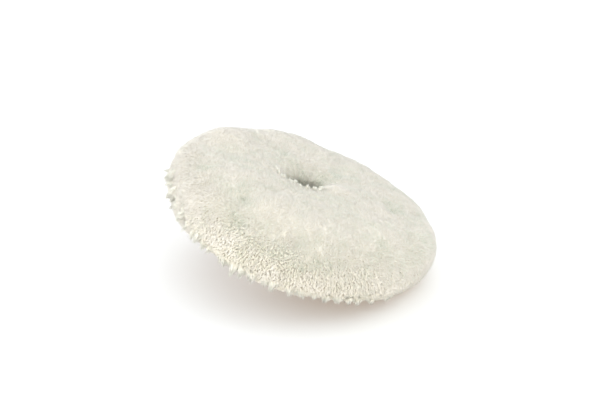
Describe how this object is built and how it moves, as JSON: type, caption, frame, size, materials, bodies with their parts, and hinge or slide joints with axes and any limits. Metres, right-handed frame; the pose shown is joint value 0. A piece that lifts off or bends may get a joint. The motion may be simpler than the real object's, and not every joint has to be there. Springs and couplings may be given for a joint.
{
  "type": "wool polishing pad on backing plate",
  "caption": "Round cut-pile wool polishing pad with a centre hole, held by hook and loop on a ribbed backing plate with foam and a riveted, threaded steel hub.",
  "frame": {"origin": "centre of the hub's seating face, the lowest face, on the spindle axis", "axes": "+Z along the spindle axis from the hub towards the wool face, +X through a corner of the hub's hexagon"},
  "size_m": [0.152, 0.152, 0.057],
  "materials": {
    "wool": "cut wool pile, off-white",
    "canvas": "woven natural canvas",
    "latex": "cured latex coat",
    "loop": "brushed loop cloth, white",
    "thread": "twisted polyester thread",
    "hook": "moulded hook tape, black",
    "foam": "open-cell foam, dark grey",
    "plate": "moulded nylon, black, lightly textured",
    "steel": "zinc-plated turned steel",
    "rivet": "plated rivet steel"
  },
  "bodies": {
    "plate": {"threaded_hub": "steel", "hub_rivets": "rivet", "backing_plate": "plate", "reinforcing_disc": "steel", "foam_cushion": "foam", "hook_disc": "hook"},
    "pad": {"loop_cloth": "loop", "latex_coat": "latex", "tufted_canvas": "canvas", "edge_stitching": "thread", "wool_face": "wool", "wool_rim": "wool"}
  },
  "joints": [
    {"name": "pad_release", "type": "slide", "parent": "plate", "child": "pad", "axis": [0, 0, 1], "range_m": [0, 0.06]}
  ]
}
